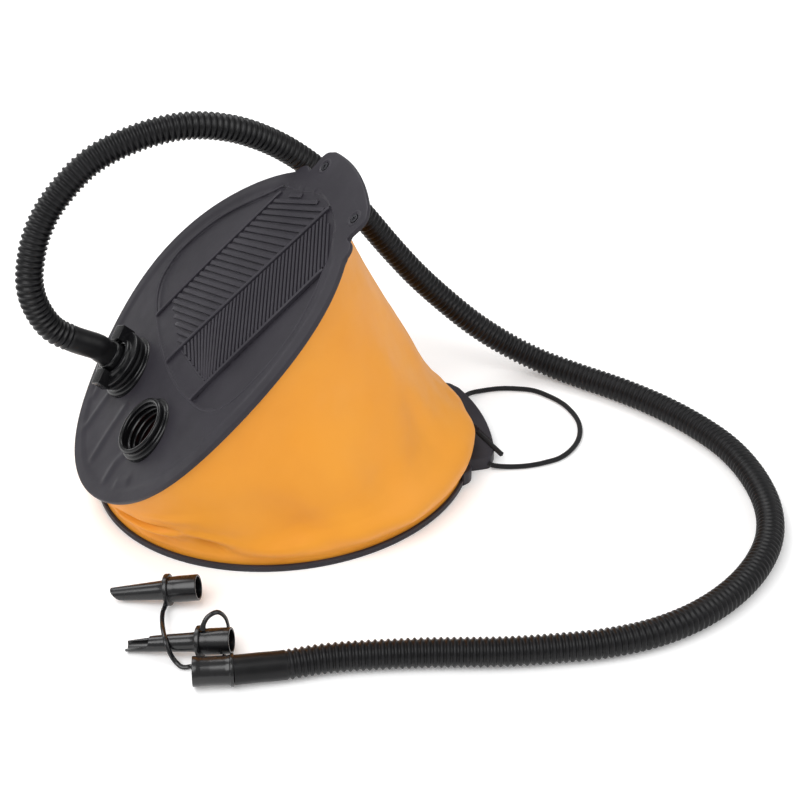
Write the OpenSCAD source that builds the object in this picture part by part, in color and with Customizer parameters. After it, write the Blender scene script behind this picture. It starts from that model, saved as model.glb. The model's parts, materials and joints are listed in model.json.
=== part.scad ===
// Bellows foot air pump: two plastic plates on an internal hinge, a fabric bellows between them,
// an intake port and an outlet port on the upper plate, and a corrugated hose with two nozzles.
// Origin: centre of the base plate on the floor. +X points from the hinge to the ears, +Z is up.

/* [Plates] */
// Length of each oval plate, without its ear
plate_l = 280; // [260:1:300]
// Width of each oval plate
plate_w = 246; // [230:1:260]
// Thickness of the plates' panels
panel_t = 3; // [2.5:0.1:3.5]
// Height of the base plate's rim
base_rim_h = 5; // [4:0.1:8]
// Depth of the top plate's rim
top_rim_h = 5; // [4:0.1:9]
// Height of both plates when they lie parallel, outside to outside
stack_h = 51.6; // [50:0.1:54]
// Angle between the plates with the bellows full
open_angle = 44; // [40:1:46]

/* [Ears] */
// Radius of the ears' outer edge
ear_r = 150; // [145:1:155]
// Distance of the ears' outer edge from the plate's centre
ear_reach = 157; // [155:1:160]
// Distance of the ear's screws from the plate's centre line
ear_screw_y = 39; // [37:1:40]
// Height of the base plate's ear
base_ear_h = 11; // [10:0.1:12]

/* [Hinge] */
// Distance of the hinge pin behind the plate's centre
hinge_back = 118; // [116:1:120]
// Height of the hinge pin
hinge_z = 22.5; // [22:0.1:23]
// Radius of the hinge pin
pin_r = 2.5; // [2:0.1:3]

/* [Ports] */
// Distance of the ports behind the plate's centre
port_back = 67.8; // [66:0.1:69]
// Distance of each port from the centre line
port_y = 40; // [39:0.5:41]
// Radius of the ports' bore
port_r = 19; // [18:0.1:19.5]
// Height of the port collars over the plate
collar_h = 10; // [9:0.1:11]

/* [Hose] */
// Outer radius of the hose
hose_r = 9.9; // [9:0.1:10]
// Radius of the rope
rope_r = 1.9; // [1.5:0.1:2]
// Radius of the nozzle tethers
tether_r = 1.6; // [1.2:0.1:1.8]

/* [Spring] */
// Radius of the return spring's coils, at the middle of the wire
coil_r = 22; // [20:1:24]
// Radius of the spring wire
wire_r = 1.25; // [1:0.05:1.5]
// Turns of the return spring
turns = 8; // [6:1:9]

/* [Hidden] */
$fn = 64;
a = plate_l / 2;
b = plate_w / 2;
wall = 2.5;
skin_t = 0.9;
ring_w = 4;
ring_h = 5;
// How far the fabric's upper hem stands in from its lower one at the sides, and twice that at the ear
top_inset = 4.5;
ear_x = ear_reach - ear_r;
port_x = -port_back;
hinge_x = -hinge_back;
top_in = stack_h - panel_t;
top_rim_z = stack_h - top_rim_h;
flap_t = 1.2;
grid_z = -16;
wing_angle = 41;
nut_z = 11.5;
spring_x = -5;
hub_top = 22;
cuff_l = 12;
black = [0.13, 0.13, 0.14];
gloss = [0.07, 0.07, 0.08];
steel = [0.72, 0.73, 0.75];
orange = [0.96, 0.65, 0.2];
flap_red = [0.6, 0.16, 0.13];

// How far the fabric stands out at the ear end, by its share of the way up
bulge = [[0, 0], [0.02, 3], [0.05, 9], [0.08, 13], [0.11, 14], [0.14, 11], [0.18, 4], [0.24, -2],
  [0.3, -4], [0.75, -4], [0.9, -2.5], [1, 0]];

// The hose's centre line from its start cuff to its end cuff, lying on the floor from point 22
hose_route = [
  [-126, 40, 103], [-141, 40, 112], [-154, 40, 123], [-162, 41, 139], [-165, 42, 157],
  [-162, 46, 175], [-154, 51, 195], [-139, 58, 214], [-112, 65, 235], [-79, 68, 247],
  [-45, 71, 250], [-12, 75, 242], [18, 80, 225], [44, 84, 203], [66, 87, 178],
  [87, 89, 150], [107, 89, 121], [128, 87, 93], [151, 84, 67], [176, 77, 43],
  [202, 68, 24], [227, 52, 13], [251, 28, 10], [274, 1, 10], [294, -28, 10],
  [310, -60, 10], [320, -92, 10], [322, -127, 10], [316, -162, 10], [302, -192, 10],
  [280, -217, 10], [252, -237, 10], [220, -251, 10], [186, -258, 10], [152, -258, 10],
  [118, -253, 10], [84, -246, 10], [33, -232, 10], [-18, -221, 10], [-52, -218, 10]
];
arc_end = 13;
drop_end = 22;
last = len(hose_route) - 1;
hose_out = [-sin(open_angle), 0, cos(open_angle)];

// The rope's centre line, from one hole in the base ear round to the other
rope_route = [
  [154, 36, 6], [161, 41, 4], [171, 44, 2.1], [185, 43, 2.1], [198, 39, 2.1], [210.5, 32.5, 2.1],
  [219.5, 21.5, 2.1], [226, 9.5, 2.1], [229, -3.6, 2.1], [229, -17, 2.1], [225.5, -29.4, 2.1],
  [219, -40.5, 2.1], [210, -49.5, 2.1], [199, -56, 2.1], [186, -58.3, 2.1], [172, -58.3, 2.1],
  [160, -56, 2.1], [151, -54, 3], [145, -52, 4]];
// Where each end of the rope is knotted inside the ear, and where it comes out
knot_a = [142, 36, 6];
mouth_a = [154, 36, 6];
knot_b = [140, -41, 5];
mouth_b = [145, -52, 4];
tail_from = [146, -17.8, 10.5];
tail_to = [154.5, -52, 10.5];

// Points on the pieces at the hose's end, on each one's own centre line
cuff_a = [-52, -218, 10];
cuff_b = [-82.5, -214, 10.6];
socket_b = [-109, -208.5, 11.2];
socket_gap = 0.9;
nozzle_a_big = [-91, -136, 15];
nozzle_a_tip = [-147, -115, 4.6];
nozzle_b_big = [-80, -192, 15];
nozzle_b_tip = [-145, -166, 4.8];
nozzle_a_l = norm(nozzle_a_tip - nozzle_a_big);
nozzle_b_l = norm(nozzle_b_tip - nozzle_b_big);
collar_at = 21;
tether_a_route = [
  [-115.2, -138.6, 5.4], [-117.1, -144.5, 7.5], [-119, -154.3, 10.8], [-120.4, -166, 14.8],
  [-120.9, -175, 16], [-120.8, -181.5, 14.6], [-119.8, -185, 10], [-118.2, -187, 5.5],
  [-116.2, -189.5, 2.8], [-113.7, -193, 2], [-110.6, -194.2, 2], [-108.2, -195.2, 3],
  [-107.2, -198.2, 5.6]
];
tether_b_route = [
  [-100, -188, 24.3], [-98, -187, 27], [-94, -187, 30], [-89, -189, 31], [-85, -194, 30],
  [-83, -202, 27], [-84, -211, 23.5]
];

// ---- helpers ----

function unit(v) = v / norm(v);
function mix(p, q, s) = p + (q - p) * s;
function oval(ra, rb, n = 120) = [for (i = [0 : n - 1]) [ra * cos(360 * i / n), rb * sin(360 * i / n)]];
function tangents(p, first) = [for (i = [0 : len(p) - 1])
  unit(i == 0 ? first : p[min(i + 1, len(p) - 1)] - p[i - 1])];
function normals(t, n, i = 0) =
  i >= len(t) ? [] : let(m = unit(n - (n * t[i]) * t[i])) concat([m], normals(t, m, i + 1));
// A point turned about the hinge by an angle, upwards at the ears
function turned(p, angle) =
  let(x = p[0] - hinge_x, z = p[2] - hinge_z)
  [hinge_x + x * cos(angle) - z * sin(angle), p[1], hinge_z + x * sin(angle) + z * cos(angle)];

// Faces of a closed tube whose points run ring after ring
function tube_faces(rings, sides) = concat(
  [[for (k = [0 : sides - 1]) k]],
  [for (i = [0 : rings - 2], k = [0 : sides - 1])
    let(p = i * sides + k, q = i * sides + (k + 1) % sides) [p, p + sides, q + sides, q]],
  [[for (k = [sides - 1 : -1 : 0]) (rings - 1) * sides + k]]
);

// A tube swept along the points from first to final of a route that sets out in a direction
module sweep_tube(route, r, sides, first, final, out) {
  t = tangents(route, out);
  n = normals(t, [0.1, 0, 1]);
  points = [for (i = [first : final], k = [0 : sides - 1])
    let(c = 360 * (k + 0.5) / sides) route[i] + r * (cos(c) * n[i] + sin(c) * cross(t[i], n[i]))];
  polyhedron(points, tube_faces(final - first + 1, sides), convexity = 6);
}

// Puts a child drawn along +Z from the origin onto the line from p towards q
module along(p, q) {
  d = q - p;
  translate(p) rotate([0, acos(d[2] / norm(d)), atan2(d[1], d[0])]) children();
}

// Turns what is drawn with the plates parallel up to the open top plate
module on_top() {
  translate([hinge_x, 0, hinge_z])
    rotate([0, -open_angle, 0])
      translate([-hinge_x, 0, -hinge_z])
        children();
}

// Origin on the upper plate's outer face at a port's centre, +Z out of the port
module at_port(side) {
  on_top() translate([port_x, side * port_y, stack_h]) children();
}

module oval_slab(ra, rb, h) {
  linear_extrude(height = h) polygon(oval(ra, rb));
}

module oval_ring(ra, rb, w, h) {
  linear_extrude(height = h)
    difference() {
      polygon(oval(ra, rb));
      polygon(oval(ra - w, rb - w));
    }
}

// The ear's plan: a curved outer edge with a lobe at each end, on a neck with two small lobes
module ear_slab(h) {
  intersection() {
    translate([ear_x, 0, 0]) cylinder(r = ear_r, h = h, $fn = 128);
    translate([131, -44, 0]) cube([40, 88, h]);
  }
  for (s = [-1, 1]) translate([140, s * 43, 0]) cylinder(r = 9, h = h);
  translate([100, -46, 0]) cube([32, 92, h]);
  for (s = [-1, 1]) translate([119, s * 56, 0]) cylinder(r = 9, h = h);
}

module tube(r_out, r_in, h) {
  difference() {
    cylinder(r = r_out, h = h);
    translate([0, 0, -1]) cylinder(r = r_in, h = h + 2);
  }
}

// ---- base ----

module base_plate() {
  color(black)
    difference() {
      union() {
        oval_slab(a, b, panel_t);
        oval_ring(a, b, wall, base_rim_h);
        ear_slab(panel_t);
        difference() {
          ear_slab(base_ear_h);
          translate([0, 0, panel_t]) oval_slab(a - 1, b - 1, base_ear_h);
        }
      }
      // Rope holes with a pocket for each knot, and the groove that holds the cut end
      along(knot_a, mouth_a) cylinder(r = rope_r + 0.3, h = 20);
      along(knot_b, mouth_b) cylinder(r = rope_r + 0.3, h = 20);
      for (p = [knot_a, knot_b]) translate([p[0], p[1], -1]) cylinder(r = 5, h = p[2] + 5.2);
      along(tail_from, tail_to) cylinder(r = rope_r + 0.6, h = 50);
      for (s = [-1, 1]) translate([hinge_x + 14, s * 22, 0.5]) cylinder(r = 1.6, h = panel_t);
    }
}

module base_clamp_ring() {
  color(black)
    translate([0, 0, panel_t])
      oval_ring(a - wall - skin_t - 0.4, b - wall - skin_t - 0.4, ring_w, ring_h);
}

module knuckles(ys, w) {
  for (y = ys)
    translate([0, y + w / 2, 0]) rotate([90, 0, 0]) cylinder(r = 6, h = w);
}

module base_hinge_bracket() {
  color(black)
    difference() {
      union() {
        translate([hinge_x, 0, hinge_z]) knuckles([-14, 14], 9);
        for (y = [-14, 14]) {
          translate([hinge_x - 5, y - 4.5, panel_t]) cube([10, 9, hinge_z - panel_t]);
          translate([hinge_x - 4, y - 4.5, panel_t]) cube([26, 9, 3]);
        }
        translate([hinge_x + 6, -27, panel_t]) cube([16, 54, 3]);
      }
      translate([hinge_x, 30, hinge_z]) rotate([90, 0, 0]) cylinder(r = pin_r + 0.05, h = 60);
      for (s = [-1, 1])
        translate([hinge_x + 14, s * 22, panel_t - 1]) cylinder(r = 1.6, h = 6);
    }
}

module screw(l) {
  cylinder(r = 1.5, h = l);
  difference() {
    translate([0, 0, l]) cylinder(r = 3, h = 1.8);
    for (c = [0, 90]) rotate([0, 0, c]) translate([-1.8, -0.4, l + 1]) cube([3.6, 0.8, 2]);
  }
}

module base_bracket_screws() {
  color(steel)
    for (s = [-1, 1]) translate([hinge_x + 14, s * 22, 0.6]) screw(5.4);
}

module hinge_pin() {
  color(steel)
    difference() {
      translate([hinge_x, 33, hinge_z]) rotate([90, 0, 0]) cylinder(r = pin_r, h = 66);
      for (s = [-1, 1])
        translate([hinge_x, s * 31 + 0.5, hinge_z]) rotate([90, 0, 0]) tube(pin_r + 1, pin_r - 0.5, 1);
    }
}

module pin_clips() {
  color(steel)
    for (s = [-1, 1])
      translate([hinge_x, s * 31 + 0.4, hinge_z])
        rotate([90, 0, 0])
          difference() {
            tube(4.6, pin_r - 0.4, 0.8);
            translate([-1.4, 0, -1]) cube([2.8, 8, 3]);
          }
}

module base_spring_seat() {
  color(black)
    translate([spring_x, 0, panel_t]) {
      tube(coil_r + 5, coil_r + 2.2, 5);
      tube(coil_r + 5, coil_r - 5, 1.2);
    }
}

// The spring stands between its two seats and leans with the wedge between the plates
module return_spring() {
  steps = 14 * turns;
  low = panel_t + 1.2 + wire_r + 0.2;
  high = top_in - 1.2 - wire_r - 0.2;
  route = [for (i = [0 : steps])
    let(s = i / steps, c = 360 * turns * s)
    turned([spring_x + coil_r * cos(c), coil_r * sin(c), mix(low, high, s)], open_angle * s)];
  color(steel) sweep_tube(route, wire_r, 6, 0, steps, [0, 1, 0]);
}

// A point on the free fabric: round the plate by angle c, up it by share s, and out by d.
// Between a taut line and an arc about the hinge, it is nearer the line towards the top.
function skin(c, s, d) =
  let(
    low = [(a - wall - 0.2 + d) * cos(c), (b - wall - 0.2 + d) * sin(c), panel_t + ring_h + 0.2],
    high = [low[0] - top_inset * (1 + cos(c)), low[1] - top_inset * sin(c), top_in - ring_h - 0.2],
    line = mix(low, turned(high, open_angle), s),
    fan = turned(mix(low, high, s), open_angle * s),
    ear_end = pow((1 + cos(c)) / 2, 2)
  )
  mix(mix(line, fan, 0.3 * (1 - pow(s, 3))), line, ear_end)
    + lookup(s, bulge) * pow((1 + cos(c + 32)) / 2, 4) * [cos(c), sin(c), 0];
// The same, with the fabric's hems held straight in the clamps below s = 0 and above s = 1
function cloth(c, s, d) =
  s < 0 ? skin(c, 0, d) - [0, 0, ring_h] :
  s > 1 ? skin(c, 1, d) + ring_h * [-sin(open_angle), 0, cos(open_angle)] : skin(c, s, d);

module bellows() {
  around = 72;
  up = 17;
  levels = [for (j = [0 : up]) j == 0 ? -1 : j == up ? 2 : (j - 1) / (up - 2)];
  outer = [for (s = levels, i = [0 : around - 1]) cloth(360 * i / around, s, 0)];
  inner = [for (s = levels, i = [0 : around - 1]) cloth(360 * i / around, s, -skin_t)];
  n = around * (up + 1);
  faces = concat(
    [for (j = [0 : up - 1], i = [0 : around - 1])
      let(p = j * around + i, q = j * around + (i + 1) % around) [p, p + around, q + around, q]],
    [for (j = [0 : up - 1], i = [0 : around - 1])
      let(p = n + j * around + i, q = n + j * around + (i + 1) % around) [p, q, q + around, p + around]],
    [for (i = [0 : around - 1]) let(k = (i + 1) % around) [i, k, n + k, n + i]],
    [for (i = [0 : around - 1])
      let(p = up * around + i, q = up * around + (i + 1) % around) [p, n + p, n + q, q]]
  );
  color(orange) polyhedron(concat(outer, inner), faces, convexity = 8);
}

module rope_loop() {
  color(gloss) sweep_tube(rope_route, rope_r, 8, 0, len(rope_route) - 1, mouth_a - knot_a);
}

module rope_knots() {
  color(gloss)
    for (e = [[knot_a, mouth_a], [knot_b, mouth_b]]) {
      translate(e[0]) sphere(r = 4.2);
      along(e[0], e[1]) cylinder(r = rope_r, h = norm(e[1] - e[0]) - 1.2);
    }
}

module rope_tail() {
  color(gloss) along(tail_from, tail_to) cylinder(r = rope_r, h = norm(tail_to - tail_from));
}

// ---- top ----

module tread() {
  // Centre ridge, edge ridges and slanted ribs of the foot tread
  for (y = [-54, 54]) translate([-10, y - 1, 0]) cube([112, 2, 2]);
  translate([-38, -1, 0]) cube([162, 2, 2]);
  for (i = [0 : 15], s = [-1, 1])
    translate([-8 + 7 * i, s * 3, 0]) rotate([0, 0, s * 66]) translate([0, -0.6, 0]) cube([48, 1.2, 1]);
}

module top_plate() {
  color(black)
    on_top()
      difference() {
        union() {
          translate([0, 0, top_in]) oval_slab(a, b, panel_t);
          translate([0, 0, top_rim_z]) oval_ring(a, b, wall, top_rim_h);
          translate([0, 0, top_in]) ear_slab(panel_t);
          translate([0, 0, stack_h]) tread();
        }
        for (s = [-1, 1]) {
          translate([port_x, s * port_y, top_in - 1]) cylinder(r = port_r + 2, h = panel_t + 2);
          translate([138.5, s * ear_screw_y, top_in - 1]) cylinder(r = 1.6, h = panel_t + 2);
          translate([138.5, s * ear_screw_y, stack_h - 1.8]) cylinder(r = 3.6, h = 3);
          translate([hinge_x + 14, s * 34, top_in - 1]) cylinder(r = 1.6, h = 2.6);
        }
      }
}

module top_clamp_ring() {
  color(black)
    on_top()
      translate([-top_inset, 0, top_in - ring_h])
        oval_ring(a - wall - skin_t - 0.4 - top_inset, b - wall - skin_t - 0.4 - top_inset, ring_w, ring_h);
}

module top_hinge_bracket() {
  color(black)
    on_top()
      difference() {
        union() {
          translate([hinge_x, 0, hinge_z]) knuckles([-24, 24], 9);
          for (y = [-24, 24]) translate([hinge_x - 5, y - 4.5, hinge_z]) cube([10, 9, top_in - hinge_z]);
          translate([hinge_x - 5, -39, top_in - 3]) cube([26, 78, 3]);
        }
        translate([hinge_x, 40, hinge_z]) rotate([90, 0, 0]) cylinder(r = pin_r + 0.05, h = 80);
        for (s = [-1, 1])
          translate([hinge_x + 14, s * 34, top_in - 4]) cylinder(r = 1.6, h = 6);
      }
}

module top_bracket_screws() {
  color(steel)
    on_top()
      for (s = [-1, 1])
        translate([hinge_x + 14, s * 34, top_in + 1.4]) mirror([0, 0, 1]) screw(4.4);
}

module top_spring_seat() {
  color(black)
    on_top()
      translate([spring_x, 0, top_in]) mirror([0, 0, 1]) {
        tube(coil_r + 5, coil_r + 2.2, 5);
        tube(coil_r + 5, coil_r - 5, 1.2);
      }
}

// A stiffening plate under the ear, which the ear's screws hold
module ear_backing() {
  color(black)
    on_top()
      translate([0, 0, top_in - 4])
        difference() {
          union() {
            intersection() {
              translate([ear_x, 0, 0]) cylinder(r = ear_r - 1, h = 4, $fn = 128);
              translate([142, -40, 0]) cube([20, 80, 4]);
            }
            for (s = [-1, 1]) translate([140, s * ear_screw_y, 0]) cylinder(r = 8, h = 4);
          }
          oval_slab(a + 0.6, b + 0.6, 10);
          for (s = [-1, 1]) translate([138.5, s * ear_screw_y, -1]) cylinder(r = 1.6, h = 6);
        }
}

module ear_screws() {
  color(steel)
    on_top()
      for (s = [-1, 1]) translate([138.5, s * ear_screw_y, top_in - 4.4]) screw(5.6);
}

module collar() {
  difference() {
    union() {
      cylinder(r = port_r + 3, h = collar_h);
      cylinder(r = port_r + 4.3, h = 3);
      translate([0, 0, grid_z + 2]) cylinder(r = port_r + 1.8, h = -grid_z);
    }
    translate([0, 0, grid_z]) cylinder(r = port_r, h = collar_h - grid_z + 1);
  }
}

module intake_collar() {
  color(gloss) at_port(-1) collar();
}

module outlet_collar() {
  color(gloss) at_port(1) collar();
}

// A disc with six air holes and a hole for the flap's stud, under the collar
module valve_grid() {
  translate([0, 0, grid_z])
    difference() {
      cylinder(r = port_r + 1.8, h = 2);
      for (i = [0 : 5]) rotate([0, 0, 60 * i]) translate([10.5, 0, -1]) cylinder(r = 4, h = 4);
      translate([0, 0, -1]) cylinder(r = 1.9, h = 4);
    }
}

module intake_valve_grid() {
  color(gloss) at_port(-1) valve_grid();
}

module outlet_valve_grid() {
  color(gloss) at_port(1) valve_grid();
}

// A stud on whose shank the flap slides, along +Z from the grid's other face
module valve_stud() {
  cylinder(r = 1.9, h = 7.6);
  translate([0, 0, 7.6]) cylinder(r = 4, h = 1.2);
}

module intake_valve_stud() {
  color(gloss) at_port(-1) translate([0, 0, grid_z + 2]) mirror([0, 0, 1]) valve_stud();
}

module outlet_valve_stud() {
  color(gloss) at_port(1) translate([0, 0, grid_z]) valve_stud();
}

module flap() {
  tube(17, 2.2, flap_t);
}

module intake_flap() {
  color(flap_red) at_port(-1) translate([0, 0, grid_z - flap_t - 0.2]) flap();
}

module outlet_flap() {
  color(flap_red) at_port(1) translate([0, 0, grid_z + 2.2]) flap();
}

// ---- hose ----

module nut_gasket() {
  color(black) at_port(1) translate([0, 0, collar_h + 0.1]) tube(22.5, port_r + 0.3, 1.3);
}

module winged_nut() {
  color(gloss)
    at_port(1)
      difference() {
        union() {
          translate([0, 0, nut_z]) cylinder(r = 23, h = 3);
          translate([0, 0, -4]) cylinder(r = port_r - 0.3, h = nut_z + 4);
          rotate([0, 0, wing_angle])
            for (s = [-1, 1])
              translate([s * 18 - 6, -5, nut_z]) cube([12, 10, 11]);
        }
        translate([0, 0, -5]) cylinder(r = 11.5, h = 40);
        translate([0, 0, -5]) cylinder(r = 14.5, h = 8);
      }
}

module hose_spigot() {
  color(gloss)
    at_port(1)
      difference() {
        union() {
          translate([0, 0, -4]) cylinder(r = 11.2, h = hub_top + 4);
          translate([0, 0, -4]) cylinder(r = 14, h = 2);
        }
        translate([0, 0, -5]) cylinder(r = 7, h = 40);
      }
}

module hose_start_cuff() {
  color(black) at_port(1) translate([0, 0, hub_top]) cylinder(r = hose_r + 0.3, h = cuff_l);
}

module hose_arc() {
  color(black) sweep_tube(hose_route, hose_r, 10, 0, arc_end, hose_out);
}

module hose_drop() {
  color(black) sweep_tube(hose_route, hose_r, 10, arc_end, drop_end, hose_out);
}

module hose_floor() {
  color(black) sweep_tube(hose_route, hose_r, 10, drop_end, last, hose_out);
}

module hose_end_cuff() {
  color(black)
    along(cuff_a, cuff_b)
      difference() {
        translate([0, 0, 0.6]) cylinder(r = hose_r, h = norm(cuff_b - cuff_a) - 0.6);
        translate([0, 0, 4]) cylinder(r = 7, h = 40);
      }
}

module nozzle_socket() {
  l = norm(socket_b - cuff_b);
  color(gloss)
    along(cuff_b, socket_b)
      difference() {
        union() {
          translate([0, 0, socket_gap]) cylinder(r = 9.8, h = l - socket_gap);
          translate([0, 0, socket_gap]) cylinder(r = 10.6, h = 2.4);
        }
        translate([0, 0, -1]) cylinder(r = 7.6, h = l + 2);
      }
}

// A hollow tapered nozzle from its big end at the origin along +Z, with a stop collar
module nozzle(l, r_big, r_tip) {
  rotate_extrude()
    polygon([
      [r_big - 2, 0], [r_big, 0], [r_big, 14], [r_big - 0.6, collar_at - 1.5],
      [r_big + 2, collar_at - 1.5], [r_big + 2, collar_at + 1.5], [r_big - 2.4, collar_at + 1.5],
      [r_tip, l], [r_tip - 1.4, l], [r_big - 4, collar_at + 2], [r_big - 2, collar_at - 4]
    ]);
}

module nozzle_short() {
  color(gloss) along(nozzle_a_big, nozzle_a_tip) nozzle(nozzle_a_l, 8.8, 4.4);
}

module nozzle_long() {
  color(gloss) along(nozzle_b_big, nozzle_b_tip) nozzle(nozzle_b_l, 8.6, 4.5);
}

module tether_short() {
  color(gloss) sweep_tube(tether_a_route, tether_r, 8, 0, len(tether_a_route) - 1, [-2, -6, 2]);
}

module tether_long() {
  color(gloss) sweep_tube(tether_b_route, tether_r, 8, 0, len(tether_b_route) - 1, [2, 1, 3]);
}

base_plate();
base_clamp_ring();
base_hinge_bracket();
base_bracket_screws();
hinge_pin();
pin_clips();
base_spring_seat();
return_spring();
bellows();
rope_loop();
rope_knots();
rope_tail();
top_plate();
top_clamp_ring();
top_hinge_bracket();
top_bracket_screws();
top_spring_seat();
ear_backing();
ear_screws();
intake_collar();
outlet_collar();
intake_valve_grid();
outlet_valve_grid();
intake_valve_stud();
outlet_valve_stud();
intake_flap();
outlet_flap();
nut_gasket();
winged_nut();
hose_spigot();
hose_start_cuff();
hose_arc();
hose_drop();
hose_floor();
hose_end_cuff();
nozzle_socket();
nozzle_short();
nozzle_long();
tether_short();
tether_long();
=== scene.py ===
"""A foot air pump with a wedge bellows, a corrugated hose and two nozzles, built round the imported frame."""
import json
import math

import bmesh
import bpy
import numpy as np
from mathutils import Matrix, Vector


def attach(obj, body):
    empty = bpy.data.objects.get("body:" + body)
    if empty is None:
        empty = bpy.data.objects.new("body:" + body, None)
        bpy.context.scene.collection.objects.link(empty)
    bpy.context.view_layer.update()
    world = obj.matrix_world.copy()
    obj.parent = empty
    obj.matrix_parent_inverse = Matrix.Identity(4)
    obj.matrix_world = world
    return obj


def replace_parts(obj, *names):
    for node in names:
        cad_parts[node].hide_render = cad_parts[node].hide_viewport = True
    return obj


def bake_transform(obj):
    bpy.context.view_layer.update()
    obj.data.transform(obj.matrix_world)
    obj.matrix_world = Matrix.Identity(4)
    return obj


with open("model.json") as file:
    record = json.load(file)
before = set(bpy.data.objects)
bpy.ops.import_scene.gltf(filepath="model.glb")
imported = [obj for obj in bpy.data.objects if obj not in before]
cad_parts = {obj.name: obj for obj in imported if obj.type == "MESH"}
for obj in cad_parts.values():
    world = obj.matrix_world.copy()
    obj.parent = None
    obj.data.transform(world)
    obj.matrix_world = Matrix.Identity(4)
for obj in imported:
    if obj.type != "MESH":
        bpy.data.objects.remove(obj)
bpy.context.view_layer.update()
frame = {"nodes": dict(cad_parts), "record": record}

MM = 0.001

# The part's own measures, in millimetres. A is half the plates' length, B half the base plate's
# width and TOP_B half the top plate's width.
A, B = 140.0, 123.0
TOP_B = 120.0
STACK = 51.6
RIM_H = 4.0
BASE_RIM_H = 5.0
WALL = 2.5
SKIN = 0.9
TOP_INSET = 4.5
# How high the top plate's crown rises, where, and over what half length
CROWN, CROWN_X, CROWN_REACH = 7.2, 3.0, 122.0
# The top panel's underside, below its outer plane
PANEL_UNDER = -3.8
OPEN = math.radians(44)
HINGE_X, HINGE_Z = -118.0, 22.5
PORT_X, PORT_Y = -67.8, 40.0
PORT_RISE = 1.2
EAR_SCREW = (138.5, 39.0)
SPRING_X = -5.0
HOSE_R = 9.9
OUT = np.array([-math.sin(OPEN), 0.0, math.cos(OPEN)])


# ---- camera ----

def link(obj):
    bpy.context.scene.collection.objects.link(obj)
    return obj


def look_at(obj, place, target):
    obj.location = place
    obj.rotation_euler = (Vector(target) - Vector(place)).to_track_quat("-Z", "Y").to_euler()


camera = link(bpy.data.objects.new("camera", bpy.data.cameras.new("camera")))
camera.data.lens = 72
camera.data.sensor_width = 36
camera.data.clip_start = 0.01
look_at(camera, (-0.1897, -0.9398, 0.7348), (0.1054, 0.0531, 0.0))
bpy.context.scene.camera = camera


# ---- materials ----

class Look:
    """A node material with helpers for noise, bump and colour."""

    def __init__(self, name, colour, roughness, metallic=0.0, specular=0.5):
        self.mat = bpy.data.materials.new(name)
        self.mat.use_nodes = True
        self.mat.diffuse_color = (*colour, 1)
        self.tree = self.mat.node_tree
        self.shader = self.tree.nodes["Principled BSDF"]
        self.shader.inputs["Base Color"].default_value = (*colour, 1)
        self.shader.inputs["Roughness"].default_value = roughness
        self.shader.inputs["Metallic"].default_value = metallic
        self.shader.inputs["Specular IOR Level"].default_value = specular
        self.coords = self.new("ShaderNodeTexCoord").outputs["Object"]

    def new(self, kind, **values):
        node = self.tree.nodes.new(kind)
        for key, value in values.items():
            setattr(node, key, value)
        return node

    def join(self, out, into):
        self.tree.links.new(out, into)

    def noise(self, scale, detail=4.0, stretch=None, distortion=0.0):
        node = self.new("ShaderNodeTexNoise")
        node.inputs["Scale"].default_value = scale
        node.inputs["Detail"].default_value = detail
        node.inputs["Distortion"].default_value = distortion
        source = self.coords
        if stretch:
            mapping = self.new("ShaderNodeMapping")
            mapping.inputs["Scale"].default_value = stretch
            self.join(source, mapping.inputs["Vector"])
            source = mapping.outputs["Vector"]
        self.join(source, node.inputs["Vector"])
        return node.outputs["Fac"]

    def ramp(self, factor, low, high, start=0.3, end=0.7):
        node = self.new("ShaderNodeValToRGB")
        node.color_ramp.elements[0].position = start
        node.color_ramp.elements[1].position = end
        node.color_ramp.elements[0].color = (*low, 1)
        node.color_ramp.elements[1].color = (*high, 1)
        self.join(factor, node.inputs["Fac"])
        return node.outputs["Color"]

    def colour(self, out):
        self.join(out, self.shader.inputs["Base Color"])

    def roughness(self, factor, low, high):
        node = self.new("ShaderNodeMapRange")
        node.inputs["From Min"].default_value = 0.3
        node.inputs["From Max"].default_value = 0.7
        node.inputs["To Min"].default_value = low
        node.inputs["To Max"].default_value = high
        self.join(factor, node.inputs["Value"])
        self.join(node.outputs["Result"], self.shader.inputs["Roughness"])

    def bump(self, *layers):
        """Layers are (height output, distance in metres, strength)."""
        last = None
        for height, distance, strength in layers:
            node = self.new("ShaderNodeBump")
            node.inputs["Distance"].default_value = distance
            node.inputs["Strength"].default_value = strength
            self.join(height, node.inputs["Height"])
            if last:
                self.join(last, node.inputs["Normal"])
            last = node.outputs["Normal"]
        self.join(last, self.shader.inputs["Normal"])

    def edge_wear(self, base, worn, amount=0.5):
        """Rubbed edges, from the mesh's own sharpness."""
        geometry = self.new("ShaderNodeNewGeometry")
        edge = self.ramp(geometry.outputs["Pointiness"], (0, 0, 0), (1, 1, 1), 0.52, 0.62)
        mix = self.new("ShaderNodeMix", data_type="RGBA")
        worn_part = self.new("ShaderNodeMath", operation="MULTIPLY")
        self.join(edge, worn_part.inputs[0])
        worn_part.inputs[1].default_value = amount
        self.join(worn_part.outputs[0], mix.inputs["Factor"])
        self.join(base, mix.inputs["A"])
        mix.inputs["B"].default_value = (*worn, 1)
        return mix.outputs["Result"]


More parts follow.
